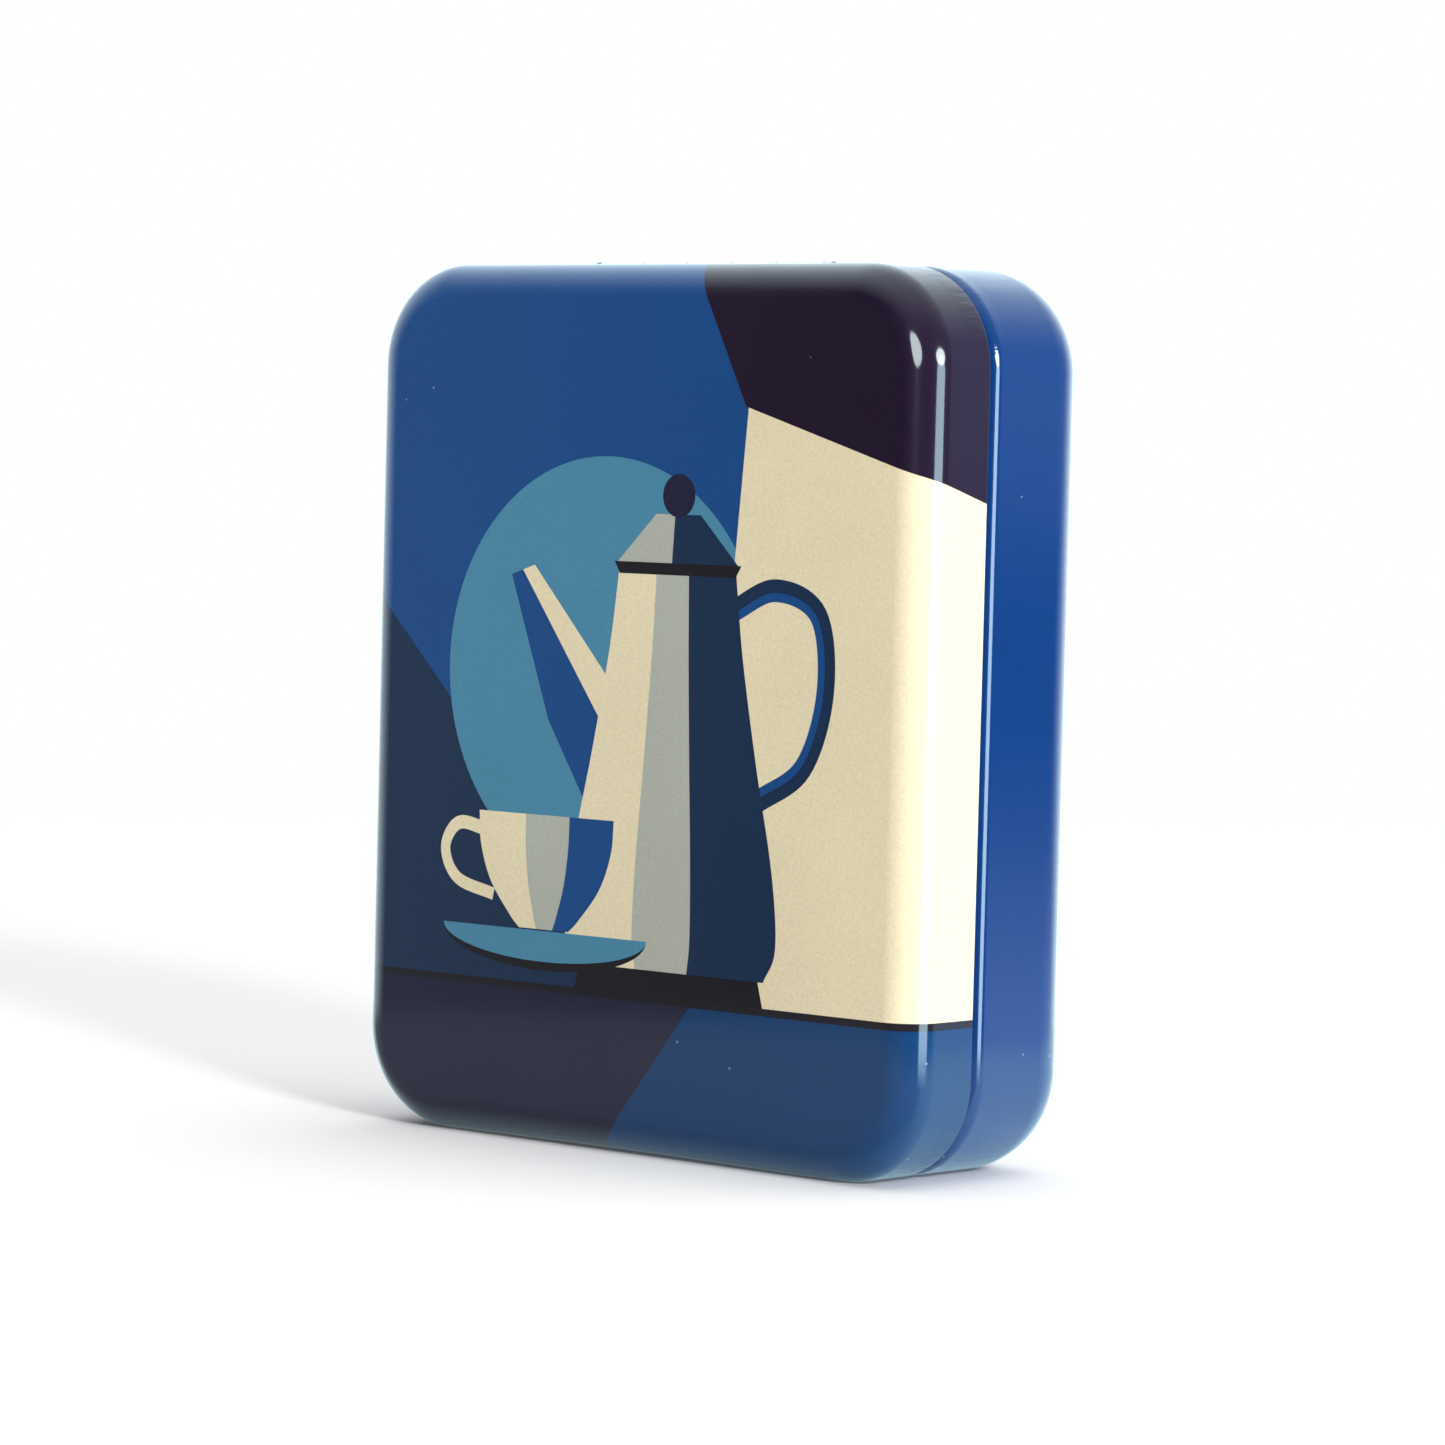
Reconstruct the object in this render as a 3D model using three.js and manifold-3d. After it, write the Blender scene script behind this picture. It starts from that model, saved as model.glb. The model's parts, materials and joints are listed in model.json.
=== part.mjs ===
// A flat hinged tin of drawn tinplate that stands on one of its short ends.
// Millimetres. X runs across the tin, Y from the lid (front, -Y) to the back of the base (+Y), Z up.
// The origin is in the middle of the footprint, at the height of the surface that the tin stands on.
import * as THREE from "three";
import { mergeVertices } from "three/addons/utils/BufferGeometryUtils.js";
import Module from "manifold-3d";

const wasm = await Module();
wasm.setup();

// Tin
const WIDTH = 101;
const HEIGHT = 120;
const DEPTH = 36;
const CORNER_RADIUS = 14;
const SHEET = 0.3;
const FRONT = -DEPTH / 2;
const BACK = DEPTH / 2;

// Lid tray: a rounded front edge and a skirt that ends in a turned-in hem
const LID_EDGE_RADIUS = 5;
const SKIRT_END = FRONT + 12.7;
const HEM_THICKNESS = 0.65;
const HEM_WIDTH = 1.6;

// Base tray: a large rounding at the back, a shoulder behind the lid's edge, and a neck inside the lid
const BASE_EDGE_RADIUS = 9.5;
const SEAM_GAP = 0.3;
const SHOULDER = SKIRT_END + SEAM_GAP;
const SHOULDER_RADIUS = 2.1;
const NECK_INSET = 2.2;
const NECK_END = SHOULDER - 8;
const CURL_THICKNESS = 0.65;
const CURL_WIDTH = 1.6;

// Hinge on the top wall, in the seam
const HINGE_Y = SKIRT_END + 1.35;
const HINGE_Z = HEIGHT - 0.4;
const PIN_RADIUS = 0.5;
const PIN_LENGTH = 44.4;
const HEAD_RADIUS = 1.1;
const HEAD_LENGTH = 1.8;
const BORE_RADIUS = 0.58;
const LEAF_SHEET = 0.35;
const KNUCKLE_RADIUS = BORE_RADIUS + LEAF_SHEET;
const KNUCKLE_COUNT = 5;
const KNUCKLE_GAP = 0.3;
const LEAF_CLEARANCE = 0.3;
const LID_LEAF_DEPTH = 6.4;
const BASE_LEAF_DEPTH = 8.5;
const NOTCH_CLEARANCE = 0.5;

// Facets
const CORNER_SEGMENTS = 8;
const EDGE_SEGMENTS = 5;
const SHOULDER_SEGMENTS = 3;
const ROUND_SEGMENTS = 24;

// How far a cutting block reaches past the solid that it cuts
const OVERRUN = 5;

function toSolid(geometry) {
  geometry.deleteAttribute("normal");
  geometry.deleteAttribute("uv");
  const merged = mergeVertices(geometry, 1e-4);
  return new wasm.Manifold(new wasm.Mesh({
    numProp: 3,
    vertProperties: merged.attributes.position.array,
    triVerts: new Uint32Array(merged.index.array),
  }));
}

function toMesh(name, solid, color, roughness, metalness) {
  const { vertProperties, triVerts } = solid.getMesh();
  const geometry = new THREE.BufferGeometry();
  geometry.setAttribute("position", new THREE.BufferAttribute(vertProperties, 3));
  geometry.setIndex(new THREE.BufferAttribute(triVerts, 1));
  geometry.computeVertexNormals();
  const mesh = new THREE.Mesh(geometry, new THREE.MeshStandardMaterial({ color, roughness, metalness }));
  mesh.name = name;
  return mesh;
}

// The tin's outline, seen from the front, moved inwards by inset
function outline(inset) {
  const x = WIDTH / 2 - inset;
  const y = HEIGHT / 2 - inset;
  const r = CORNER_RADIUS - inset;
  const shape = new THREE.Shape();
  shape.moveTo(x, y - r);
  shape.absarc(x - r, y - r, r, 0, Math.PI / 2);
  shape.absarc(r - x, y - r, r, Math.PI / 2, Math.PI);
  shape.absarc(r - x, r - y, r, Math.PI, Math.PI * 1.5);
  shape.absarc(x - r, r - y, r, Math.PI * 1.5, Math.PI * 2);
  return shape;
}

// A block with the outline above, from the plane y = front to y = back, square or with both edges rounded
function block(inset, front, back, edgeRadius = 0, edgeSegments = EDGE_SEGMENTS) {
  const geometry = new THREE.ExtrudeGeometry(outline(inset), {
    depth: back - front - 2 * edgeRadius,
    curveSegments: CORNER_SEGMENTS,
    bevelEnabled: edgeRadius > 0,
    bevelThickness: edgeRadius,
    bevelSize: edgeRadius,
    bevelOffset: -edgeRadius,
    bevelSegments: edgeSegments,
  });
  geometry.rotateX(Math.PI / 2);
  geometry.translate(0, back - edgeRadius, HEIGHT / 2);
  return toSolid(geometry);
}

function box(low, high) {
  const size = high.map((value, axis) => value - low[axis]);
  const geometry = new THREE.BoxGeometry(...size);
  geometry.translate(...low.map((value, axis) => value + size[axis] / 2));
  return toSolid(geometry);
}

// A cylinder on the hinge axis
function hingeCylinder(radius, left, right) {
  const geometry = new THREE.CylinderGeometry(radius, radius, right - left, ROUND_SEGMENTS);
  geometry.rotateZ(Math.PI / 2);
  geometry.translate((left + right) / 2, HINGE_Y, HINGE_Z);
  return toSolid(geometry);
}

function lidShell() {
  const outside = block(0, FRONT, SKIRT_END + LID_EDGE_RADIUS, LID_EDGE_RADIUS);
  const behind = box([-WIDTH, SKIRT_END, -OVERRUN], [WIDTH, BACK, HEIGHT + OVERRUN]);
  const hemFront = SKIRT_END - HEM_WIDTH;
  const insideRadius = LID_EDGE_RADIUS - SHEET;
  const hollow = block(SHEET, FRONT + SHEET, hemFront + insideRadius, insideRadius)
    .subtract(box([-WIDTH, hemFront, -OVERRUN], [WIDTH, BACK, HEIGHT + OVERRUN]));
  const mouth = block(HEM_THICKNESS, hemFront - SHEET, SKIRT_END + OVERRUN);
  return outside.subtract(behind).subtract(hollow).subtract(mouth);
}

// The base tray's body: rounded at the back by one radius and at the shoulder by another
function baseBody(inset) {
  const back = BACK - inset;
  const shoulder = SHOULDER + inset;
  const rounded = block(inset, FRONT - OVERRUN, back, BASE_EDGE_RADIUS - inset);
  const stepped = block(inset, shoulder, back + OVERRUN, SHOULDER_RADIUS - inset, SHOULDER_SEGMENTS);
  return rounded.intersect(stepped);
}

function baseShell() {
  const neckInside = NECK_INSET + SHEET;
  const curlInside = NECK_INSET + CURL_THICKNESS;
  const neck = block(NECK_INSET, NECK_END, SHOULDER + SHOULDER_RADIUS);
  const neckHollow = block(neckInside, NECK_END + CURL_WIDTH, SHOULDER + OVERRUN);
  const mouth = block(curlInside, NECK_END - OVERRUN, SHOULDER);
  const notchHalf = PIN_LENGTH / 2 + NOTCH_CLEARANCE;
  const notchBack = HINGE_Y + KNUCKLE_RADIUS + NOTCH_CLEARANCE;
  const notch = box([-notchHalf, FRONT, HEIGHT - OVERRUN], [notchHalf, notchBack, HEIGHT + OVERRUN]);
  return baseBody(0).add(neck)
    .subtract(baseBody(SHEET)).subtract(neckHollow).subtract(mouth).subtract(notch);
}

// Left and right ends of each knuckle, counted from the left head of the pin
function knuckleSpan(index) {
  const room = PIN_LENGTH - 2 * HEAD_LENGTH;
  const length = (room - (KNUCKLE_COUNT + 1) * KNUCKLE_GAP) / KNUCKLE_COUNT;
  const left = -room / 2 + KNUCKLE_GAP + index * (length + KNUCKLE_GAP);
  return [left, left + length];
}

// A leaf: a flat strip and the knuckles that belong to it. side is -1 towards the lid and +1 towards the base.
function hingeLeaf(side, firstKnuckle, stripTop, stripDepth) {
  const stripBottom = stripTop - LEAF_SHEET;
  const inner = HINGE_Y + side * (KNUCKLE_RADIUS + LEAF_CLEARANCE);
  const outer = inner + side * stripDepth;
  const stripLeft = knuckleSpan(0)[0];
  const stripRight = knuckleSpan(KNUCKLE_COUNT - 1)[1];
  let leaf = box(
    [stripLeft, Math.min(inner, outer), stripBottom],
    [stripRight, Math.max(inner, outer), stripTop],
  );
  for (let index = firstKnuckle; index < KNUCKLE_COUNT; index += 2) {
    const [left, right] = knuckleSpan(index);
    const tab = box(
      [left, Math.min(HINGE_Y, inner + side), stripBottom],
      [right, Math.max(HINGE_Y, inner + side), stripTop],
    );
    leaf = leaf.add(tab).add(hingeCylinder(KNUCKLE_RADIUS, left, right));
  }
  return leaf.subtract(hingeCylinder(BORE_RADIUS, -PIN_LENGTH, PIN_LENGTH));
}

// The lid's leaf leaves the barrel at its lowest line, so that it passes under the lid's hem
function lidHingeLeaf() {
  return hingeLeaf(-1, 1, HINGE_Z - BORE_RADIUS, LID_LEAF_DEPTH);
}

// The base's leaf lies just under the base's top wall
function baseHingeLeaf() {
  return hingeLeaf(1, 0, HEIGHT - SHEET - LEAF_CLEARANCE, BASE_LEAF_DEPTH);
}

function hingePin() {
  const end = PIN_LENGTH / 2;
  const shank = end - HEAD_LENGTH;
  const profile = [
    [0, -end],
    [HEAD_RADIUS, -end],
    [HEAD_RADIUS, -shank],
    [PIN_RADIUS, -shank],
    [PIN_RADIUS, shank],
    [HEAD_RADIUS, shank],
    [HEAD_RADIUS, end],
    [0, end],
  ].map(([radius, along]) => new THREE.Vector2(radius, along));
  const geometry = new THREE.LatheGeometry(profile, ROUND_SEGMENTS);
  geometry.rotateZ(Math.PI / 2);
  geometry.translate(0, HINGE_Y, HINGE_Z);
  return toSolid(geometry);
}

const base = new THREE.Group();
base.add(toMesh("base_shell", baseShell(), 0x1f4a8c, 0.35, 0.1));
base.add(toMesh("base_hinge_leaf", baseHingeLeaf(), 0xb9bcc0, 0.35, 0.9));
base.add(toMesh("hinge_pin", hingePin(), 0x8d9094, 0.4, 1));

const lid = new THREE.Group();
lid.add(toMesh("lid_shell", lidShell(), 0x4a92b8, 0.3, 0.1));
lid.add(toMesh("lid_hinge_leaf", lidHingeLeaf(), 0xb9bcc0, 0.35, 0.9));

const tin = new THREE.Group();
tin.add(base, lid);

export default tin;
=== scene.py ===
"""Looks of a flat hinged picture tin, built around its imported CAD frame. Metres, +Z up, lid towards -Y."""

import json
import math

import bpy
import numpy as np
from mathutils import Matrix, Vector
from mathutils.geometry import delaunay_2d_cdt


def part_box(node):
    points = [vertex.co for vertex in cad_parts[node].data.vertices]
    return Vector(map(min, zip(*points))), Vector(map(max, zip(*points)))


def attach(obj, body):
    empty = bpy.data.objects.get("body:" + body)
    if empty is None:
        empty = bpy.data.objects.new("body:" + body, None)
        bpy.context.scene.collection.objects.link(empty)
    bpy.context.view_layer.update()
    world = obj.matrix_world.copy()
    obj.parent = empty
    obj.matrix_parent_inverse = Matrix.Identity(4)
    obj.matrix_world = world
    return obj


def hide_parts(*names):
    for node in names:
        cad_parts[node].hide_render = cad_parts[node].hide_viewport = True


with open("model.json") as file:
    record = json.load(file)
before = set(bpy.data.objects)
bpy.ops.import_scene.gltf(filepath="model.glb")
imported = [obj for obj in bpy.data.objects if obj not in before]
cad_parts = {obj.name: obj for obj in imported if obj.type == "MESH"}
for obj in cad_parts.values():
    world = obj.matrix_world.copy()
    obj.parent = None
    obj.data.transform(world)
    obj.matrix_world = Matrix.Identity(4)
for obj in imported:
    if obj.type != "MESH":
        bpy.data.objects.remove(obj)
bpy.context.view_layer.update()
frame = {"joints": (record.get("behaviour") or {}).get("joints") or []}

MM = 0.001

# The tin's sizes, from the CAD boxes
lid_low, lid_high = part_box("lid_shell")
base_low, base_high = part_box("base_shell")
WIDTH = lid_high.x - lid_low.x
HEIGHT = lid_high.z - lid_low.z
FRONT = lid_low.y
SKIRT_END = lid_high.y
NECK_END = base_low.y
BACK = base_high.y

# Sheet metal sizes
SHEET = 0.3 * MM
CORNER_RADIUS = 14 * MM
LID_EDGE_RADIUS = 5 * MM
BASE_EDGE_RADIUS = 9.5 * MM
SHOULDER = SKIRT_END + 0.3 * MM
SHOULDER_RADIUS = 2.1 * MM
NECK_INSET = 2.2 * MM
NECK_FILLET = NECK_INSET - SHOULDER_RADIUS
SPRING_HEIGHT = 0.2 * MM
SPRING_REACH = 8 * MM
FOLD_RADIUS = 0.325 * MM
FOLD_WIDTH = 1.6 * MM

# Hinge sizes
HINGE = Vector(frame["joints"][0]["pos_m"])
PIN_LOW, PIN_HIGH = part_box("hinge_pin")
PIN_RADIUS = 0.5 * MM
HEAD_LENGTH = 1.8 * MM
BORE_RADIUS = 0.58 * MM
LEAF_SHEET = 0.35 * MM
LEAF_CLEARANCE = 0.3 * MM
LEAF_CORNER = 1.5 * MM
WELD_RADIUS = 0.7 * MM
WELD_DEPTH = 0.066 * MM
ROLL_DEGREES = 290
KNUCKLE_COUNT = 5
KNUCKLE_GAP = 0.3 * MM
KNUCKLE_RADIUS = BORE_RADIUS + LEAF_SHEET
NOTCH_HALF = PIN_HIGH.x + 0.5 * MM
NOTCH_BACK = HINGE.y + KNUCKLE_RADIUS + 0.5 * MM

# Facets
CORNER_STEPS = 40
STRAIGHT_STEP = 3.5 * MM
EDGE_STEPS = 14
SHOULDER_STEPS = 8
FILLET_STEPS = 4
FOLD_STEPS = 8
SKIRT_STEPS = 4
STRIP_STEPS = 21
TAB_STEPS = 6
ROLL_STEPS = 29
ROUND_STEPS = 40


# ---------------------------------------------------------------- sheet metal
def spring(points):
    """The bottom wall is sprung a little hollow, so that the tin rests near its corners."""
    x, z = points[:, 0], points[:, 2]
    along = np.clip(1 - (x / Outline.half_x) ** 2, 0, 1) ** 2
    lifted = points.copy()
    lifted[:, 2] += SPRING_HEIGHT * along * np.exp(-((z / SPRING_REACH) ** 2))
    return lifted


class Outline:
    """Points round the tin's outline: anchors on the inner rectangle and outward normals, in X and Z.

    The outline moved inwards by an inset is anchor + normal * (corner radius - inset)."""

    half_x = WIDTH / 2 - CORNER_RADIUS
    half_z = HEIGHT / 2 - CORNER_RADIUS

    def __init__(self, anchors, normals):
        self.anchors = np.array(anchors)
        self.normals = np.array(normals)

    @classmethod
    def all_round(cls, stops_on_top=()):
        """Anticlockwise from the right end of the top right corner, seen from the front."""
        corners = [(1, 1), (-1, 1), (-1, -1), (1, -1)]
        anchors, normals = [], []
        for turn, (side_x, side_z) in enumerate(corners):
            centre = np.array([side_x * cls.half_x, side_z * cls.half_z])
            for angle in np.linspace(turn * 90, turn * 90 + 90, CORNER_STEPS + 1):
                anchors.append(centre)
                normals.append([math.cos(math.radians(angle)), math.sin(math.radians(angle))])
            next_x, next_z = corners[(turn + 1) % 4]
            following = np.array([next_x * cls.half_x, next_z * cls.half_z])
            length = np.linalg.norm(following - centre)
            shares = set(np.linspace(0, 1, round(length / STRAIGHT_STEP) + 1)[1:-1])
            if turn == 0:
                shares |= {(cls.half_x - x) / length for x in stops_on_top}
            for share in sorted(shares):
                anchors.append(centre + (following - centre) * share)
                normals.append(normals[-1])
        return cls(anchors, normals)

    @classmethod
    def under(cls, points):
        """The outline's places nearest to points in the X-Z plane, measured from the tin's centre."""
        anchors = np.clip(points, (-cls.half_x, -cls.half_z), (cls.half_x, cls.half_z))
        arms = points - anchors
        lengths = np.linalg.norm(arms, axis=1, keepdims=True)
        return cls(anchors, arms / np.maximum(lengths, 1e-9))

    def ring(self, inset, y):
        flat = self.anchors + self.normals * (CORNER_RADIUS - inset)
        return np.column_stack([flat[:, 0], np.full(len(flat), y), flat[:, 1] + HEIGHT / 2])

    def ring_normals(self, out, back):
        sideways = self.normals * out
        return np.column_stack([sideways[:, 0], np.full(len(sideways), back), sideways[:, 1]])


def round_profile(inset, y, radius, start, end, steps, facing=1):
    """Rings of a rounding about a centre: (inset, y, outward part of the normal, backward part)."""
    rows = []
    for degrees in np.linspace(start, end, steps + 1):
        out, back = math.cos(math.radians(degrees)), math.sin(math.radians(degrees))
        rows.append((inset - radius * out, y + radius * back, facing * out, facing * back))
    return rows


def wall_profile(inset, start, end, facing, steps=4):
    """Rings along a straight wall, without its two ends."""
    return [(inset, y, facing, 0) for y in np.linspace(start, end, steps + 2)[1:-1]]


def fold_end(inset_from, inset_to, y, back):
    """The raw end of a folded edge, facing along Y."""
    step = 0.02 * MM
    return [(inset_from + math.copysign(step, inset_to - inset_from), y, 0, back), (inset_to, y, 0, back)]


class Shell:
    """A closed sheet metal body, collected as rings of points with their true normals."""

    def __init__(self):
        self.points, self.normals, self.faces, self.inside = [], [], [], []

    def add_points(self, points, normals):
        first = len(self.points)
        self.points.extend(map(tuple, spring(np.asarray(points))))
        self.normals.extend(map(tuple, normals))
        return list(range(first, len(self.points)))

    def add_face(self, corners, inside=False, aim=None):
        """Adds a face, turned so that it looks along aim, or else the way its corners' normals point."""
        ring = [np.array(self.points[c]) for c in corners]
        area = sum(np.cross(a, b) for a, b in zip(ring, ring[1:] + ring[:1]))
        if aim is None:
            aim = sum(np.array(self.normals[c]) for c in corners)
        self.faces.append(tuple(corners) if np.dot(area, aim) >= 0 else tuple(reversed(corners)))
        self.inside.append(inside)

    def join_rings(self, first, second, inside=False, skip=()):
        for i in range(len(first)):
            j = (i + 1) % len(first)
            if i not in skip:
                self.add_face([first[i], first[j], second[j], second[i]], inside)

    def mesh(self, name):
        mesh = bpy.data.meshes.new(name)
        mesh.from_pydata(self.points, [], self.faces)
        mesh.polygons.foreach_set("material_index", np.array(self.inside, np.int32))
        mesh.shade_smooth()
        mesh.normals_split_custom_set_from_vertices(self.normals)
        return mesh


def add_piece(name, mesh, body, slot, replaced, *finishes):
    piece = bpy.data.objects.new(name, mesh)
    bpy.context.scene.collection.objects.link(piece)
    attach(piece, body)
    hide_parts(replaced)
    for finish in finishes:
        mesh.materials.append(finish)


def base_profile():
    """Rings from the edge of the back panel, round the outside, over the neck's curl and back inside."""
    shoulder_y = SHOULDER + SHOULDER_RADIUS
    fillet = (NECK_INSET - NECK_FILLET, SHOULDER - NECK_FILLET)
    back_y = BACK - BASE_EDGE_RADIUS
    rows = round_profile(BASE_EDGE_RADIUS, back_y, BASE_EDGE_RADIUS, 90, 0, EDGE_STEPS)
    rows += wall_profile(0, back_y, NOTCH_BACK, 1)
    rows += [(0, NOTCH_BACK, 1, 0)]
    notch_outside = len(rows) - 1
    rows += wall_profile(0, NOTCH_BACK, shoulder_y, 1, 2)
    rows += round_profile(SHOULDER_RADIUS, shoulder_y, SHOULDER_RADIUS, 0, -90, SHOULDER_STEPS)
    rows += round_profile(*fillet, -NECK_FILLET, -90, 0, FILLET_STEPS)[1:]
    rows += wall_profile(NECK_INSET, SHOULDER - NECK_FILLET, NECK_END + FOLD_RADIUS, 1)
    curl = (NECK_INSET + FOLD_RADIUS, NECK_END + FOLD_RADIUS)
    curl_inset = NECK_INSET + 2 * FOLD_RADIUS
    curl_end = NECK_END + FOLD_WIDTH
    rows += round_profile(*curl, FOLD_RADIUS, 0, -180, FOLD_STEPS)
    rows += [(curl_inset, curl_end, -1, 0)]
    rows += fold_end(curl_inset, NECK_INSET + SHEET, curl_end, 1)
    first_inside = len(rows)
    rows += wall_profile(NECK_INSET + SHEET, curl_end, SHOULDER - NECK_FILLET, -1)
    rows += round_profile(*fillet, -NECK_FILLET - SHEET, 0, -90, FILLET_STEPS, -1)
    shoulder_inside = SHOULDER_RADIUS - SHEET
    rows += round_profile(SHOULDER_RADIUS, shoulder_y, shoulder_inside, -90, 0, SHOULDER_STEPS, -1)[1:]
    rows += wall_profile(SHEET, shoulder_y, NOTCH_BACK, -1, 2)
    rows += [(SHEET, NOTCH_BACK, -1, 0)]
    notch_inside = len(rows) - 1
    rows += wall_profile(SHEET, NOTCH_BACK, back_y, -1)
    rows += round_profile(BASE_EDGE_RADIUS, back_y, BASE_EDGE_RADIUS - SHEET, 0, 90, EDGE_STEPS, -1)
    return rows, first_inside, notch_outside, notch_inside


def make_base():
    shell = Shell()
    outline = Outline.all_round(stops_on_top=(-NOTCH_HALF, NOTCH_HALF))
    rows, first_inside, notch_outside, notch_inside = base_profile()
    on_top = (outline.normals[:, 1] > 0.999) & (np.abs(outline.anchors[:, 0]) < NOTCH_HALF + 1e-7)
    notch = [i for i in range(len(on_top)) if on_top[i]]
    rings = []
    for inset, y, out, back in rows:
        rings.append(shell.add_points(outline.ring(inset, y), outline.ring_normals(out, back)))
    shell.add_face(rings[0])
    for k in range(len(rings) - 1):
        cut = notch[:-1] if notch_outside <= k < notch_inside else ()
        shell.join_rings(rings[k], rings[k + 1], k >= first_inside, cut)
    outside, inside = rings[notch_outside], rings[notch_inside]
    for i in notch[:-1]:
        shell.add_face([outside[i], outside[i + 1], inside[i + 1], inside[i]], True, (0, -1, 0))
    for i, aim in ((notch[0], (-1, 0, 0)), (notch[-1], (1, 0, 0))):
        shell.add_face([ring[i] for ring in rings[notch_outside:notch_inside + 1]], True, aim)
    shell.add_face(rings[-1], True)
    return shell.mesh("base_sheet")


# ---------------------------------------------------------------- the printed picture, in millimetres
# The picture is drawn on the flat sheet, before the lid is pressed. U runs to the right and V up.
PALETTE = {
    "blue": (26, 74, 133),
    "navy": (28, 48, 77),
    "night": (34, 22, 43),
    "black": (32, 29, 34),
    "slate": (12, 59, 105),
    "teal": (76, 136, 165),
    "cream": (232, 219, 183),
    "grey": (177, 180, 168),
    "plum": (34, 34, 58),
}
SHEET_EDGE = 75
TABLE = -38


def smooth_line(points, steps=10):
    """A smooth line through the points, by Catmull-Rom."""
    given = np.array(points, float)
    p = np.vstack([2 * given[0] - given[1], given, 2 * given[-1] - given[-2]])
    line = []
    for i in range(1, len(p) - 2):
        for t in np.linspace(0, 1, steps, endpoint=False):
            a = 2 * p[i]
            b = (p[i + 1] - p[i - 1]) * t
            c = (2 * p[i - 1] - 5 * p[i] + 4 * p[i + 1] - p[i + 2]) * t**2
            d = (3 * p[i] - p[i - 1] - 3 * p[i + 1] + p[i + 2]) * t**3
            line.append((a + b + c + d) / 2)
    line.append(p[-2])
    return np.array(line)


def ellipse(u, v, half_u, half_v, start=0, end=360, steps=48):
    angles = np.radians(np.linspace(start, end, steps, endpoint=end - start < 360))
    return np.column_stack([u + half_u * np.cos(angles), v + half_v * np.sin(angles)])


def stroke(points, start_width, end_width, shift=0.0):
    """A line of changing width; shift moves it sideways by that share of its width."""
    line = smooth_line(points)
    along = np.gradient(line, axis=0)
    across = np.column_stack([-along[:, 1], along[:, 0]]) / np.linalg.norm(along, axis=1, keepdims=True)
    width = np.linspace(start_width, end_width, len(line))[:, None]
    return np.vstack([line + across * width * (shift + 0.5), (line + across * width * (shift - 0.5))[::-1]])


def bands(axis, profile, edges, colours):
    """Upright bands on a round body: profile gives half widths at heights, and edges are shares of them."""
    line = smooth_line(profile, 8)
    shapes = []
    for low, high, colour in zip(edges, edges[1:], colours):
        left = np.column_stack([axis + line[:, 1] * low, line[:, 0]])
        right = np.column_stack([axis + line[:, 1] * high, line[:, 0]])
        shapes.append((colour, np.vstack([left, right[::-1]])))
    return shapes


def fields():
    """The flat fields behind the pot: walls, a round window, and a table with a dark edge."""
    e = SHEET_EDGE
    below = TABLE - 1
    return [
        ("blue", [(-e, -e), (e, -e), (e, e), (-e, e)]),
        ("navy", [(-e, 30), (-50, 16), (6, TABLE), (-e, TABLE)]),
        ("teal", ellipse(-5, 5, 29, 29, steps=120)),
        ("cream", [(23, e), (e, e), (e, TABLE), (13, TABLE)]),
        ("night", [(2, e), (e, e), (e, 25), (19.5, 41)]),
        ("black", [(-e, TABLE), (e, TABLE), (e, below), (-e, below)]),
        ("plum", [(-e, below), (12, below), (-16, -e), (-e, -e)]),
        ("slate", [(12, below), (e, below), (e, -e), (-16, -e)]),
    ]


def pot():
    """A plain bell-shaped pot with a straight spout."""
    axis = 8
    body = [(19, 10.5), (8, 12), (-6, 14.8), (-20, 18), (-30, 19), (-34.6, 17)]
    loop = [(18, 14), (25.5, 17), (33, 14), (34.5, 4), (31, -6), (23, -11)]
    spout = [(-2, 2), (-18.2, 19), (-22.5, 17.6), (-15, -2), (-7, -14), (0, -18)]
    spout_shade = [(-2, -6), (-20.4, 18.3), (-22.5, 17.6), (-15, -2), (-7, -14), (0, -18)]
    shapes = [
        ("navy", stroke(loop, 3.0, 3.0)),
        ("blue", stroke(loop, 1.2, 1.2, -0.75)),
        ("cream", spout),
        ("blue", spout_shade),
        ("black", [(-8, -34.4), (24, -34.4), (25, TABLE), (-9, TABLE)]),
    ]
    shapes += bands(axis, body, [-1, -0.35, 0.2, 1], ["cream", "grey", "navy"])
    shapes += [
        ("black", [(-3.4, 20), (19.4, 20), (18.4, 18.4), (-2.4, 18.4)]),
        ("grey", [(-2.8, 20), (7, 20), (7.4, 26.5), (4, 26.5)]),
        ("navy", [(7, 20), (18.8, 20), (12, 26.5), (7.4, 26.5)]),
        ("plum", ellipse(axis, 29, 2.9, 2.9)),
    ]
    return shapes


def cup():
    """A round bowl on a shallow saucer."""
    axis = -15
    bowl = [(-15, 12.6), (-19.5, 12.2), (-24.5, 10.2), (-29, 6.4), (-30.6, 4.6)]
    loop = [(-26, -17.6), (-31.5, -17), (-34, -20.5), (-31.6, -24.6), (-24.6, -26.4)]
    shapes = [
        ("cream", stroke(loop, 1.9, 1.7)),
        ("black", ellipse(axis, -30.8, 19, 5.4, 180, 360)),
        ("teal", ellipse(axis, -30.8, 19, 4.2, 180, 360)),
    ]
    shapes += bands(axis, bowl, [-1, -0.3, 0.35, 1], ["cream", "grey", "blue"])
    return shapes


def picture():
    return [(colour, np.array(shape, float)) for colour, shape in fields() + pot() + cup()]


def inside_polygon(points, polygon):
    x, y = points[:, 0], points[:, 1]
    hits = np.zeros(len(points), bool)
    for (x1, y1), (x2, y2) in zip(polygon, np.roll(polygon, -1, axis=0)):
        if y1 != y2:
            crosses = (y1 > y) != (y2 > y)
            hits ^= crosses & (x < (x2 - x1) * (y - y1) / (y2 - y1) + x1)
    return hits


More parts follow.
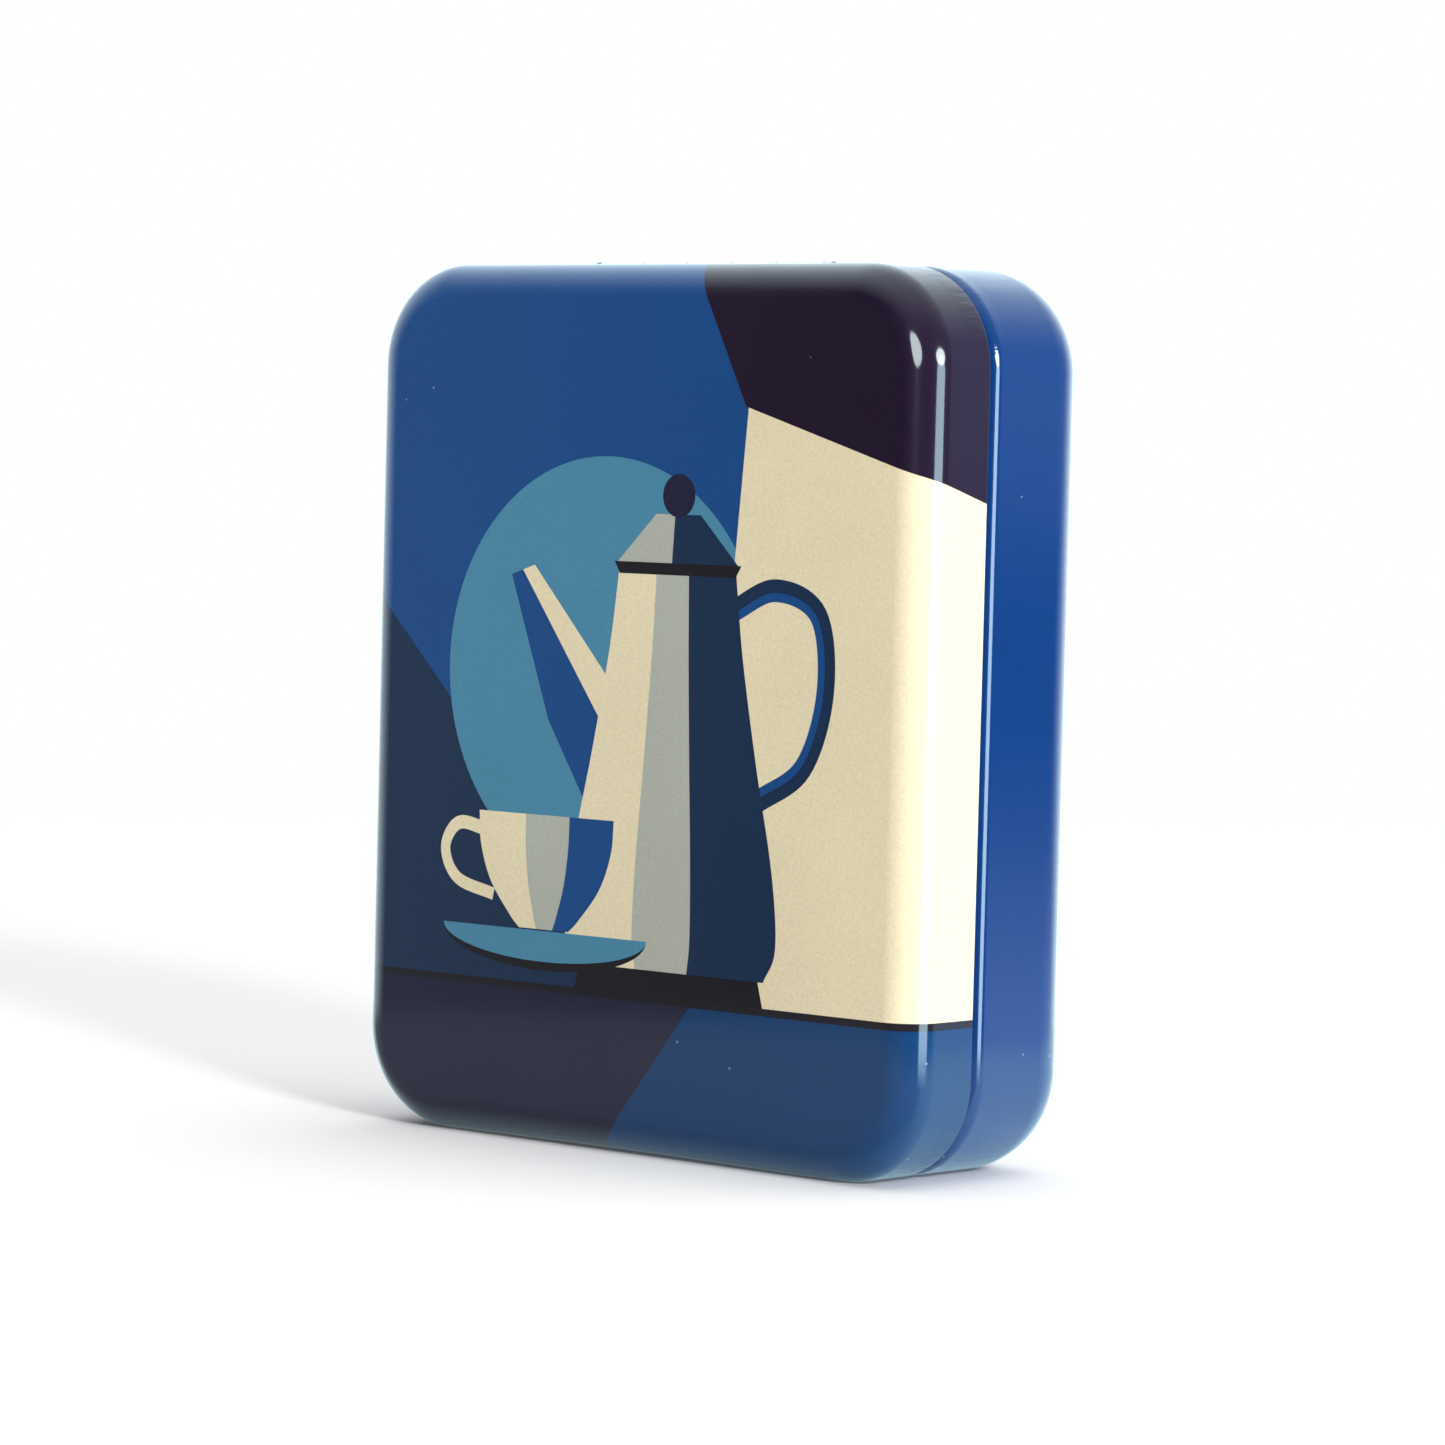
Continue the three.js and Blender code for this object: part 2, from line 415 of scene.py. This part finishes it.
def linear(rgb):
    """Eight-bit display values, as sRGB defines them, to the linear numbers that shaders take."""
    shares = [value / 255 for value in rgb]
    return [v / 12.92 if v <= 0.04045 else ((v + 0.055) / 1.055) ** 2.4 for v in shares]


# ---------------------------------------------------------------- lid
PANEL_RADIUS = CORNER_RADIUS - LID_EDGE_RADIUS
QUARTER = LID_EDGE_RADIUS * math.pi / 2
SKIRT_LENGTH = SKIRT_END - FOLD_RADIUS - FRONT - LID_EDGE_RADIUS


def press(points):
    """Where points of the flat sheet, in metres, end up on the pressed lid, with the normals there."""
    outline = Outline.under(points)
    past = np.linalg.norm(points - outline.anchors, axis=1) - PANEL_RADIUS
    flat = past <= 1e-9
    turn = np.clip(past, 0, QUARTER) / LID_EDGE_RADIUS
    deep = np.maximum(past - QUARTER, 0)
    out = np.where(flat, 0, LID_EDGE_RADIUS * np.sin(turn))
    y = FRONT + np.where(flat, 0, LID_EDGE_RADIUS * (1 - np.cos(turn)) + deep)
    base = np.where(flat[:, None], points, outline.anchors + outline.normals * PANEL_RADIUS)
    xz = base + outline.normals * out[:, None]
    placed = np.column_stack([xz[:, 0], y, xz[:, 1] + HEIGHT / 2])
    sideways = outline.normals * np.where(flat, 0, np.sin(turn))[:, None]
    forward = -np.where(flat, 1, np.cos(turn))
    return placed, np.column_stack([sideways[:, 0], forward, sideways[:, 1]])


def printed_sheet():
    """The flat printed sheet cut into triangles along every colour edge, with each triangle's colour."""
    outline = Outline.all_round()
    reach = [k / EDGE_STEPS * QUARTER for k in range(EDGE_STEPS + 1)]
    reach += [QUARTER + SKIRT_LENGTH * k / SKIRT_STEPS for k in range(1, SKIRT_STEPS + 1)]
    points, edges = [], []

    def add_loop(loop):
        first = len(points)
        points.extend(Vector(p) for p in loop)
        edges.extend((first + i, first + (i + 1) % len(loop)) for i in range(len(loop)))

    for distance in reach:
        add_loop((outline.anchors + outline.normals * (PANEL_RADIUS + distance)) / MM)
    shapes = picture()
    for _, shape in shapes:
        add_loop(shape)
    found, _, triangles, *_ = delaunay_2d_cdt(points, edges, [], 0, 1e-4, False)
    flat = np.array([tuple(p) for p in found]) * MM
    triangles = np.array([t for t in triangles if len(t) == 3])
    centres = flat[triangles].mean(axis=1)
    around = Outline.under(centres)
    kept = np.linalg.norm(centres - around.anchors, axis=1) < PANEL_RADIUS + QUARTER + SKIRT_LENGTH - 1e-7
    triangles, centres = triangles[kept], centres[kept]
    colours = np.zeros((len(triangles), 3))
    for colour, shape in shapes:
        colours[inside_polygon(centres / MM, shape)] = linear(PALETTE[colour])
    return flat, triangles, colours


def rim_of(triangles):
    """The sheet's outer vertices in order, and the triangle behind each outer edge."""
    owner = {}
    for number, (a, b, c) in enumerate(triangles):
        for edge in ((a, b), (b, c), (c, a)):
            owner[edge] = number
    rim = {a: (b, number) for (a, b), number in owner.items() if (b, a) not in owner}
    start = next(iter(rim))
    order, behind = [start], [rim[start][1]]
    while rim[order[-1]][0] != start:
        order.append(rim[order[-1]][0])
        behind.append(rim[order[-1]][1])
    return order, behind


def lid_inside_profile():
    """Rings from the skirt's edge, round its hem and along the inside to the front panel."""
    rows = round_profile(FOLD_RADIUS, SKIRT_END - FOLD_RADIUS, FOLD_RADIUS, 0, 180, FOLD_STEPS)[1:]
    rows += [(2 * FOLD_RADIUS, SKIRT_END - FOLD_WIDTH, -1, 0)]
    first_inside = len(rows)
    rows += fold_end(2 * FOLD_RADIUS, SHEET, SKIRT_END - FOLD_WIDTH, -1)
    rows += wall_profile(SHEET, SKIRT_END - FOLD_WIDTH, FRONT + LID_EDGE_RADIUS, -1)
    centre = (LID_EDGE_RADIUS, FRONT + LID_EDGE_RADIUS)
    rows += round_profile(*centre, LID_EDGE_RADIUS - SHEET, 0, -90, EDGE_STEPS, -1)
    return rows, first_inside


def make_lid():
    shell = Shell()
    flat, triangles, colours = printed_sheet()
    used = np.unique(triangles)
    renumber = {old: new for new, old in enumerate(used)}
    shell.add_points(*press(flat[used]))
    colours = list(colours)
    for triangle in triangles:
        shell.add_face([renumber[v] for v in triangle])
    rim, behind = rim_of(triangles)
    outline = Outline.under(flat[rim])
    ring = [renumber[v] for v in rim]
    rows, first_inside = lid_inside_profile()
    for number, (inset, y, out, back) in enumerate(rows):
        following = shell.add_points(outline.ring(inset, y), outline.ring_normals(out, back))
        shell.join_rings(ring, following, number >= first_inside)
        colours += [colours[t] for t in behind]
        ring = following
    shell.add_face(ring, True)
    colours.append(colours[0])
    mesh = shell.mesh("lid_sheet")
    layer = mesh.color_attributes.new("print", "FLOAT_COLOR", "CORNER")
    corner_colours = [(*colours[p.index], 1.0) for p in mesh.polygons for _ in p.vertices]
    layer.data.foreach_set("color", np.array(corner_colours, np.float32).ravel())
    return mesh


# ---------------------------------------------------------------- hinge
def knuckle_spans():
    """Left and right ends of each knuckle, between the pin's heads."""
    room = PIN_HIGH.x - PIN_LOW.x - 2 * HEAD_LENGTH
    length = (room - (KNUCKLE_COUNT + 1) * KNUCKLE_GAP) / KNUCKLE_COUNT
    lefts = [-room / 2 + KNUCKLE_GAP + i * (length + KNUCKLE_GAP) for i in range(KNUCKLE_COUNT)]
    return [(left, left + length) for left in lefts]


def leaf_path(side, strip_z, strip_end):
    """The middle line of a rolled leaf in Y and Z about the pin: along the strip, then round the pin."""
    roll = BORE_RADIUS + LEAF_SHEET / 2
    inner = KNUCKLE_RADIUS + LEAF_CLEARANCE
    line = [(side * y, strip_z) for y in np.linspace(strip_end, inner, STRIP_STEPS + 1)]
    tab_start = len(line) - 1
    for share in np.linspace(0, 1, TAB_STEPS + 1)[1:]:
        ease = share * share * (3 - 2 * share)
        line.append((side * inner * (1 - share), strip_z + (-roll - strip_z) * ease))
    for degrees in np.linspace(0, ROLL_DEGREES, ROLL_STEPS + 1)[1:]:
        angle = math.radians(degrees)
        line.append((-side * roll * math.sin(angle), -roll * math.cos(angle)))
    return np.array(line), tab_start


def make_leaf(name, side, owned, strip_z, strip_end):
    """A strip with rolled knuckles: a flat cut pattern that is bent along its path."""
    spans = knuckle_spans()
    half = spans[-1][1]
    stops = sorted({round(x, 9) for span in spans for x in np.linspace(*span, 13)})
    path, tab_start = leaf_path(side, strip_z, strip_end)
    along = np.gradient(path, axis=0)
    along /= np.linalg.norm(along, axis=1, keepdims=True)
    up = np.column_stack([-along[:, 1], along[:, 0]])
    far = np.linalg.norm(path - path[0], axis=1)
    welds = [-0.62 * half, 0.0, 0.62 * half]
    weld_line = (path[0] + path[tab_start]) / 2

    def cell_kept(row, column):
        if row < tab_start:
            return True
        middle = (stops[column] + stops[column + 1]) / 2
        return any(spans[k][0] < middle < spans[k][1] for k in owned)

    def corner_point(row, column, face):
        cut = max(LEAF_CORNER - far[row], 0)
        x = stops[column] * (1 - (LEAF_CORNER - math.sqrt(LEAF_CORNER**2 - cut**2)) / half)
        off_line = np.sum((path[row] - weld_line) ** 2)
        dent = sum(WELD_DEPTH * math.exp(-((x - weld) ** 2 + off_line) / WELD_RADIUS**2) for weld in welds)
        y, z = path[row] + up[row] * (face * LEAF_SHEET / 2 + side * dent)
        return (x, HINGE.y + y, HINGE.z + z)

    points, numbers, faces = [], {}, []

    def number(row, column, face):
        key = (row, column, face)
        if key not in numbers:
            numbers[key] = len(points)
            points.append(corner_point(*key))
        return numbers[key]

    cells = {(r, c) for r in range(len(path) - 1) for c in range(len(stops) - 1) if cell_kept(r, c)}
    for r, c in sorted(cells):
        square = [(r, c), (r + 1, c), (r + 1, c + 1), (r, c + 1)]
        faces.append([number(*p, -1) for p in square])
        faces.append([number(*p, 1) for p in reversed(square)])
        beside = [(r, c - 1), (r + 1, c), (r, c + 1), (r - 1, c)]
        for k, neighbour in enumerate(beside):
            if neighbour not in cells:
                a, b = square[k], square[(k + 1) % 4]
                faces.append([number(*a, 1), number(*b, 1), number(*b, -1), number(*a, -1)])
    mesh = bpy.data.meshes.new(name)
    mesh.from_pydata(points, [], faces)
    mesh.shade_smooth()
    mesh.set_sharp_from_angle(angle=math.radians(40))
    return mesh


def make_pin():
    """A wire with two upset heads, turned about the hinge axis."""
    end = PIN_HIGH.x
    neck = end - HEAD_LENGTH
    head = (PIN_HIGH.z - PIN_LOW.z) / 2
    dome = 0.35 * MM
    chamfer = 0.12 * MM
    edge_loop = 0.01 * MM
    profile = [(end - dome + dome * math.sin(a), head - dome + dome * math.cos(a))
               for a in np.linspace(math.pi / 2, 0, 7)]
    profile += [(neck + chamfer, head), (neck, head - chamfer), (neck, PIN_RADIUS)]
    profile += [(neck - edge_loop, PIN_RADIUS)]
    profile += [(-x, r) for x, r in reversed(profile)]
    points = [(end, HINGE.y, HINGE.z)]
    for x, radius in profile:
        for k in range(ROUND_STEPS):
            angle = 2 * math.pi * k / ROUND_STEPS
            points.append((x, HINGE.y + radius * math.cos(angle), HINGE.z + radius * math.sin(angle)))
    points.append((-end, HINGE.y, HINGE.z))
    following = [(k, (k + 1) % ROUND_STEPS) for k in range(ROUND_STEPS)]
    faces = [(0, 1 + k, 1 + after) for k, after in following]
    for ring in range(len(profile) - 1):
        a, b = 1 + ring * ROUND_STEPS, 1 + (ring + 1) * ROUND_STEPS
        faces += [(a + after, a + k, b + k, b + after) for k, after in following]
    last = 1 + (len(profile) - 1) * ROUND_STEPS
    faces += [(len(points) - 1, last + after, last + k) for k, after in following]
    mesh = bpy.data.meshes.new("hinge_pin_wire")
    mesh.from_pydata(points, [], faces)
    mesh.shade_smooth()
    mesh.set_sharp_from_angle(angle=math.radians(50))
    return mesh


# ---------------------------------------------------------------- materials
ENAMEL = (7, 52, 109)
RELIEF = 0.02 * MM
SWELL_HEIGHT = 5.0
PUCKER_HEIGHT = 80.0


class Nodes:
    """A node tree with short calls for the nodes that the finishes and the room share."""

    def __init__(self, tree):
        self.tree = tree

    def add(self, kind, **settings):
        node = self.tree.nodes.new(kind)
        for key, value in settings.items():
            setattr(node, key, value)
        return node

    def put(self, socket, value):
        if isinstance(value, bpy.types.NodeSocket):
            self.tree.links.new(value, socket)
        else:
            socket.default_value = value

    def math(self, operation, *values):
        node = self.add("ShaderNodeMath", operation=operation)
        for socket, value in zip(node.inputs, values):
            self.put(socket, value)
        return node.outputs["Value"]

    def mix(self, share, a, b, blend="MIX", data="RGBA"):
        node = self.add("ShaderNodeMix", data_type=data, blend_type=blend)
        self.put(node.inputs["Factor"], share)
        self.put(node.inputs["A"], a)
        self.put(node.inputs["B"], b)
        return node.outputs["Result"]

    def ramp(self, value, from_low, from_high, to_low, to_high, shape="LINEAR"):
        node = self.add("ShaderNodeMapRange", interpolation_type=shape)
        self.put(node.inputs["Value"], value)
        self.put(node.inputs["From Min"], from_low)
        self.put(node.inputs["From Max"], from_high)
        self.put(node.inputs["To Min"], to_low)
        self.put(node.inputs["To Max"], to_high)
        return node.outputs["Result"]


class Material(Nodes):
    """A node material whose patterns are laid out in the tin's own coordinates."""

    def __init__(self, name):
        self.made = bpy.data.materials.new(name)
        self.made.use_nodes = True
        super().__init__(self.made.node_tree)
        self.shader = self.tree.nodes["Principled BSDF"]
        self.place = self.add("ShaderNodeTexCoord").outputs["Object"]

    def stretched(self, scale):
        mapping = self.add("ShaderNodeMapping")
        self.put(mapping.inputs["Vector"], self.place)
        self.put(mapping.inputs["Scale"], scale)
        return mapping.outputs["Vector"]

    def along(self, axis):
        split = self.add("ShaderNodeSeparateXYZ")
        self.put(split.inputs[0], self.place)
        return split.outputs[axis]

    def as_grey(self, value):
        shade = self.add("ShaderNodeCombineColor")
        for socket in shade.inputs[:3]:
            self.put(socket, value)
        return shade.outputs["Color"]

    def noise(self, scale, detail=2.0, vector=None):
        node = self.add("ShaderNodeTexNoise")
        self.put(node.inputs["Vector"], vector or self.place)
        self.put(node.inputs["Scale"], scale)
        self.put(node.inputs["Detail"], detail)
        return node.outputs["Fac"]

    def specks(self, scale, size):
        """One where a small round speck lies, else zero."""
        node = self.add("ShaderNodeTexVoronoi")
        self.put(node.inputs["Vector"], self.place)
        self.put(node.inputs["Scale"], scale)
        return self.ramp(node.outputs["Distance"], size, size * 0.6, 0, 1)

    def bump(self, height, strength, distance):
        node = self.add("ShaderNodeBump")
        self.put(node.inputs["Height"], height)
        self.put(node.inputs["Strength"], strength)
        self.put(node.inputs["Distance"], distance)
        self.put(self.shader.inputs["Normal"], node.outputs["Normal"])
        self.put(self.shader.inputs["Coat Normal"], node.outputs["Normal"])

    def set(self, **values):
        for key, value in values.items():
            self.put(self.shader.inputs[key.replace("_", " ")], value)


def grey(value):
    return (value, value, value, 1)


def puckers(material):
    """The fine wrinkles that deep drawing leaves round the corners, next to the seam."""
    wave = material.noise(1, 2, material.stretched((900, 120, 900)))
    reaches = [
        ("Y", SKIRT_END, 4 * MM, 0.5 * MM),
        ("X", 0, Outline.half_x, 44 * MM),
        ("Z", HEIGHT / 2, Outline.half_z, 54 * MM),
    ]
    for axis, middle, start, end in reaches:
        distance = material.math("ABSOLUTE", material.math("SUBTRACT", material.along(axis), middle))
        wave = material.math("MULTIPLY", wave, material.ramp(distance, start, end, 0, 1))
    return wave


def varnished(material, colour, roughness):
    """Ink or enamel under a thin glossy varnish, with print grain, dust and faint handling marks."""
    grain = material.ramp(material.noise(2600, 2), 0.3, 0.7, 0.94, 1.06)
    cloud = material.ramp(material.noise(45, 3), 0.3, 0.7, 0.97, 1.03)
    tone = material.as_grey(material.math("MULTIPLY", grain, cloud))
    inked = material.mix(1.0, colour, tone, "MULTIPLY")
    settled = material.ramp(material.noise(30), 0.55, 0.62, 0, 0.35)
    dust = material.math("MULTIPLY", material.specks(230, 0.045), settled)
    dusty = material.mix(dust, inked, (0.75, 0.76, 0.78, 1))
    rub = material.ramp(material.noise(70, 5), 0.35, 0.75, -0.04, 0.07)
    material.set(Base_Color=dusty, Roughness=material.math("ADD", roughness, rub))
    swell = material.math("MULTIPLY", material.noise(24, 2), SWELL_HEIGHT)
    wrinkles = material.math("MULTIPLY", puckers(material), PUCKER_HEIGHT)
    peel = material.math("ADD", material.noise(900, 2), swell)
    material.bump(material.math("ADD", peel, wrinkles), 0.12, RELIEF)


def lid_print():
    material = Material("lid_print")
    ink = material.add("ShaderNodeAttribute", attribute_name="print")
    varnished(material, ink.outputs["Color"], 0.42)
    material.set(Coat_Weight=1.0, Coat_Roughness=0.09, Coat_IOR=1.5, Specular_IOR_Level=0.05)
    return material.made


def base_enamel():
    material = Material("base_enamel")
    varnished(material, (*linear(ENAMEL), 1), 0.38)
    material.set(Coat_Weight=1.0, Coat_Roughness=0.08, Coat_IOR=1.6, Specular_IOR_Level=0.05)
    return material.made


def tinplate(name, stretch):
    """Bright rolled tinplate: long fine streaks along the rolling direction, and soft cloudy patches."""
    material = Material(name)
    light, middle, dark = ((0.66 * share, 0.67 * share, 0.68 * share, 1) for share in (1, 0.9, 0.8))
    streak = material.noise(900, 3, material.stretched([1 / longer for longer in stretch]))
    cloud = material.noise(60, 3)
    tone = material.mix(material.ramp(streak, 0.3, 0.7, 0, 1), middle, light)
    shade = material.mix(material.ramp(cloud, 0.35, 0.7, 0, 0.35), tone, dark)
    streak_roughness = material.ramp(streak, 0.3, 0.7, 0.2, 0.34)
    cloud_roughness = material.ramp(cloud, 0.3, 0.7, -0.03, 0.05)
    rough = material.math("ADD", streak_roughness, cloud_roughness)
    material.set(Base_Color=shade, Metallic=1.0, Roughness=rough)
    material.bump(streak, 0.12, RELIEF / 2)
    return material.made


def steel_wire():
    material = Material("steel_wire")
    drawn = material.noise(1500, 2, material.stretched((0.05, 1, 1)))
    tone = material.mix(drawn, (0.5, 0.5, 0.51, 1), (0.68, 0.68, 0.68, 1))
    oxide = material.ramp(material.noise(500, 4), 0.5, 0.8, 0, 0.5)
    material.set(Base_Color=material.mix(oxide, tone, (0.34, 0.3, 0.27, 1)), Metallic=1.0)
    material.set(Roughness=material.ramp(drawn, 0.2, 0.8, 0.25, 0.45))
    material.bump(drawn, 0.3, RELIEF / 2)
    return material.made


# ---------------------------------------------------------------- stage, light and camera
FLOOR_REACH = 6.0
PAPER_RADIUS = 0.3
PAPER_LIFT = 0.02 * MM
# Where the paper's painted light turns from its dark front tone to its bright back tone, along Y
PAINTED_LIGHT_FRONT_END = -22 * MM
PAINTED_LIGHT_BACK_START = -12 * MM
LIGHT_DISTANCE = 2.0

# The camera, fitted to the photograph
CAMERA_AZIMUTH = 41.76
CAMERA_PITCH = 2.76
CAMERA_ROLL = 1.46
CAMERA_DISTANCE = 0.7585
CAMERA_HEIGHT = 0.09465
CAMERA_ASIDE = 0.0005
LENS = 138.57


def direction(azimuth, elevation):
    """Unit vector towards a place seen from the tin: azimuth 0 is -Y and 90 is +X."""
    a, e = math.radians(azimuth), math.radians(elevation)
    return Vector((math.sin(a) * math.cos(e), -math.cos(a) * math.cos(e), math.sin(e)))


def add_card(name, corners, material):
    mesh = bpy.data.meshes.new(name)
    mesh.from_pydata(corners, [], [range(len(corners))])
    card = bpy.data.objects.new(name, mesh)
    card.data.materials.append(material)
    bpy.context.scene.collection.objects.link(card)
    return card


def floor_material(name, painted_light_front_and_back, beyond, own_light, fade):
    """One tone in front of the tin and one behind, which fade into another shader further away. Where the
    two tones differ they are painted light: they stand in for how brightly the ground is lit in front of the
    tin and behind it, and they glow with own_light.
    """
    material = Material(name)
    distance = material.add("ShaderNodeVectorMath", operation="LENGTH")
    material.put(distance.inputs[0], material.place)
    away = material.ramp(distance.outputs["Value"], *fade, 0, 1)
    speckle = material.ramp(material.noise(400, 2), 0.3, 0.7, 0.99, 1)
    # Painted light where the two tones differ: a ramp from the front tone to the back tone along Y
    behind = material.ramp(material.along("Y"), PAINTED_LIGHT_FRONT_END, PAINTED_LIGHT_BACK_START, 0, 1)
    tone = material.mix(behind, *painted_light_front_and_back)
    speckled = material.mix(1.0, tone, material.as_grey(speckle), "MULTIPLY")
    material.set(Base_Color=speckled, Roughness=0.9, Specular_IOR_Level=0.0)
    material.set(Emission_Color=speckled, Emission_Strength=own_light)
    mixer = material.add("ShaderNodeMixShader")
    material.put(mixer.inputs[0], away)
    material.put(mixer.inputs[1], material.shader.outputs[0])
    material.put(mixer.inputs[2], material.add(beyond).outputs[0])
    material.put(material.tree.nodes["Material Output"].inputs["Surface"], mixer.outputs[0])
    return material.made


def make_floor():
    """The floor that the camera sees, and a sheet of paper on it that only the varnish mirrors. The paper
    carries a painted reflection of the lit ground: dark in front of the tin, bright and bluish beside and
    behind it.
    """
    white = grey(0.9)
    floor_finish = floor_material("floor", (white, white), "ShaderNodeEmission", 0.06, (0.5, 0.9))
    corners = [(FLOOR_REACH * x, FLOOR_REACH * y, 0) for x, y in ((-1, -1), (1, -1), (1, 1), (-1, 1))]
    floor = add_card("floor", corners, floor_finish)
    floor.visible_glossy = False
    # Painted light: the paper is dark grey in front of the tin and bright pale blue beside and behind it,
    # standing in for the floor's light there, and it glows in these tones
    painted_light_front_and_back = (0.3, 0.31, 0.35, 1), (0.68, 0.95, 1.0, 1)
    paper_finish = floor_material("paper", painted_light_front_and_back, "ShaderNodeBsdfTransparent", 0.3, (0.185, 0.215))
    rim = [direction(azimuth, 0) * PAPER_RADIUS for azimuth in range(0, 360, 10)]
    paper = add_card("paper", [(x, y, PAPER_LIFT) for x, y, _ in rim], paper_finish)
    paper.visible_camera = False
    paper.visible_diffuse = False
    paper.visible_shadow = False


def make_world():
    """A white room to the camera. The tin mirrors a bright ceiling and back wall, and a dim front."""
    world = bpy.data.worlds.new("room")
    bpy.context.scene.world = world
    world.use_nodes = True
    room = Nodes(world.node_tree)
    place = room.add("ShaderNodeTexCoord").outputs["Generated"]
    ray = room.add("ShaderNodeLightPath").outputs
    up, down, left = (0, 0, 1), (0, 0, -1), (-1, 0, 0)

    def lobe(vector, start, end, strength, shape="SMOOTHSTEP"):
        """Brightness that rises where the direction's dot product with vector goes from start to end."""
        dot = room.add("ShaderNodeVectorMath", operation="DOT_PRODUCT")
        room.put(dot.inputs[0], place)
        room.put(dot.inputs[1], vector)
        return room.ramp(dot.outputs["Value"], start, end, 0.0, strength, shape)

    overhead = lobe((0, 0.4, 0.8), 0.0, 0.66, 2.0, "LINEAR")
    ceiling = room.math("MULTIPLY", overhead, lobe(up, -0.05, 0.35, 1.0))
    ceiling = room.math("MULTIPLY", ceiling, lobe(left, -0.9, 0.6, 1.0, "LINEAR"))
    behind = lobe(direction(236, 0), 0.12, 0.65, 1.7, "LINEAR")
    wall = room.math("MULTIPLY", behind, lobe(up, -0.35, -0.2, 1.0))
    side = lobe(direction(155, 0), 0.86, 0.93, 1.0)
    side_high = room.math("MULTIPLY", side, lobe(up, -0.03, 0.005, 0.45))
    side_low = room.math("MULTIPLY", side, lobe(down, 0.045, 0.115, 1.15))
    sharp = ceiling
    for part in (wall, side_high, side_low):
        sharp = room.math("MAXIMUM", sharp, part)
    soft = lobe((0, 0.287, 0.958), 0.35, 0.95, 1.7)
    strength = room.mix(ray["Is Glossy Ray"], soft, sharp, data="FLOAT")

    bluish = lobe(direction(138, 0), 0.7, 0.95, 1.0)
    cool = room.mix(bluish, (0.8, 0.97, 1.05, 1), (0.6, 0.8, 1.3, 1))
    colour = room.mix(ray["Is Glossy Ray"], grey(1), cool)

    background = room.tree.nodes["Background"].inputs
    room.put(background["Color"], room.mix(ray["Is Camera Ray"], colour, grey(1)))
    room.put(background["Strength"], room.math("MAXIMUM", strength, ray["Is Camera Ray"]))


def add_light(name, place, size, radiance, colour, mirrored=False):
    """A flat light, placed and sized in degrees as the tin sees it. A mirrored one lights nothing up."""
    data = bpy.data.lights.new(name, "AREA")
    data.shape = "ELLIPSE" if mirrored else "RECTANGLE"
    data.size, data.size_y = (2 * LIGHT_DISTANCE * math.tan(math.radians(angle / 2)) for angle in size)
    data.energy = radiance * math.pi * data.size * data.size_y
    data.color = colour
    light = bpy.data.objects.new(name, data)
    bpy.context.scene.collection.objects.link(light)
    away = direction(*place)
    light.location = Vector((0, 0, HEIGHT / 2)) + away * LIGHT_DISTANCE
    light.rotation_mode = "QUATERNION"
    light.rotation_quaternion = away.to_track_quat("Z", "Y")
    light.visible_glossy = mirrored
    light.visible_diffuse = not mirrored


def make_lights():
    add_light("key", (68, 20), (10, 14), 60, (0.97, 0.98, 1.0))
    add_light("low_fill", (100, 3), (30, 5), 30, (0.68, 0.86, 1.0))
    add_light("right_window", (93, 15), (28, 15), 16, (0.85, 0.96, 1.0), mirrored=True)
    add_light("right_window_foot", (93, -4), (27, 40), 8, (0.65, 0.88, 1.0), mirrored=True)
    add_light("left_window", (22, 16), (28, 23), 11, (0.85, 0.96, 1.0), mirrored=True)


def make_camera():
    data = bpy.data.cameras.new("camera")
    data.sensor_width = 36
    data.lens = LENS
    data.clip_start, data.clip_end = 0.01, 50
    camera = bpy.data.objects.new("camera", data)
    bpy.context.scene.collection.objects.link(camera)
    azimuth, pitch, roll = (math.radians(v) for v in (CAMERA_AZIMUTH, CAMERA_PITCH, CAMERA_ROLL))
    right = Vector((math.cos(azimuth), math.sin(azimuth), 0))
    ahead = Vector((-math.sin(azimuth), math.cos(azimuth), 0))
    upright = Vector((0, 0, 1))
    look = ahead * math.cos(pitch) - upright * math.sin(pitch)
    up = upright * math.cos(pitch) + ahead * math.sin(pitch)
    across = right * math.cos(roll) + up * math.sin(roll)
    above = up * math.cos(roll) - right * math.sin(roll)
    axes = (across, above, -look)
    place = upright * CAMERA_HEIGHT - ahead * CAMERA_DISTANCE + right * CAMERA_ASIDE
    camera.matrix_world = Matrix.Translation(place) @ Matrix(axes).transposed().to_4x4()
    bpy.context.scene.camera = camera


# ---------------------------------------------------------------- the tin
make_camera()
make_world()
make_lights()
make_floor()

inside_finish = tinplate("inside_tinplate", stretch=(1, 1, 40))
add_piece("lid_sheet", make_lid(), "lid", "lid_print", "lid_shell", lid_print(), inside_finish)
add_piece("base_sheet", make_base(), "base", "base_enamel", "base_shell", base_enamel(), inside_finish)

leaf_finish = tinplate("bare_tinplate", stretch=(30, 1, 1))
lid_strip_z = -(BORE_RADIUS + LEAF_SHEET / 2)
lid_leaf_end = HINGE.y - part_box("lid_hinge_leaf")[0].y
lid_leaf = make_leaf("lid_leaf", -1, (1, 3), lid_strip_z, lid_leaf_end)
add_piece("lid_leaf", lid_leaf, "lid", "bare_tinplate", "lid_hinge_leaf", leaf_finish)

base_strip_z = HEIGHT - SHEET - LEAF_CLEARANCE - LEAF_SHEET / 2 - HINGE.z
base_leaf_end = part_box("base_hinge_leaf")[1].y - HINGE.y
base_leaf = make_leaf("base_leaf", 1, (0, 2, 4), base_strip_z, base_leaf_end)
add_piece("base_leaf", base_leaf, "base", "bare_tinplate", "base_hinge_leaf", leaf_finish)

add_piece("pin_wire", make_pin(), "base", "steel_wire", "hinge_pin", steel_wire())

bpy.context.scene.view_settings.view_transform = "Standard"
